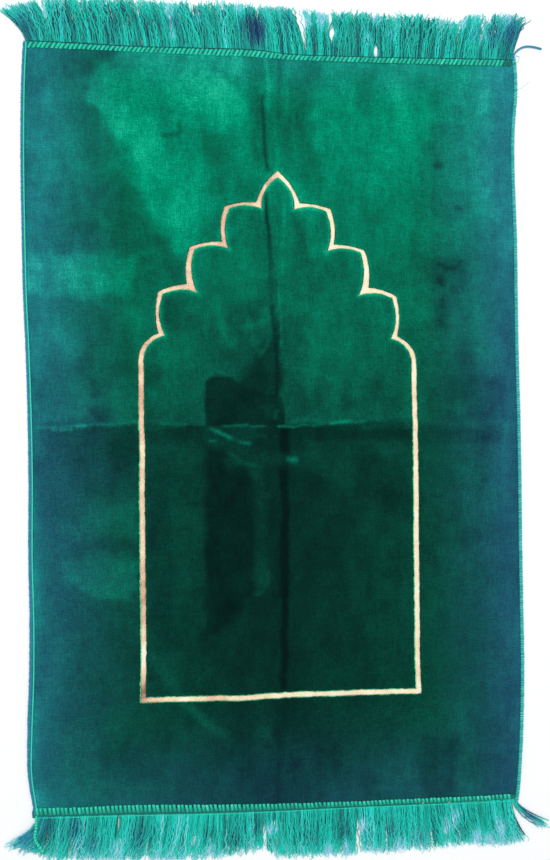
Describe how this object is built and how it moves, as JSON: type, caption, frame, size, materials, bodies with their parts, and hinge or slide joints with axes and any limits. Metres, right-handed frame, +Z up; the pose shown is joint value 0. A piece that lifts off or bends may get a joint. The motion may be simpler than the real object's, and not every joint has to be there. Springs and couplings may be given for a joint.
{
  "type": "prayer rug",
  "caption": "Flat woven velvet prayer rug with a stepped arch line sunk in its pile, bound long sides and a fringed heading at each end.",
  "frame": {"origin": "on the floor, under the middle of the woven body, 2 mm below the centre of the cloth", "axes": "+Y along the rug towards the tip of the arch, +X to the right seen from above with the arch up, +Z up out of the pile"},
  "size_m": [0.7687, 1.2229, 0.0066],
  "materials": {
    "velvet": "dense short green velvet pile, brighter where it leans away",
    "gold_weave": "flat peach and cream twill of the sunk arch line",
    "fringe_yarn": "turquoise twisted yarn with a soft shine",
    "edge_thread": "teal overlock thread"
  },
  "bodies": {
    "root": {"velvet_field": "velvet", "fringe_top": "fringe_yarn", "fringe_bottom": "fringe_yarn", "binding_left": "edge_thread", "binding_right": "edge_thread", "thread_tail_bottom_left": "edge_thread", "thread_tail_top_right": "edge_thread"}
  },
  "joints": []
}
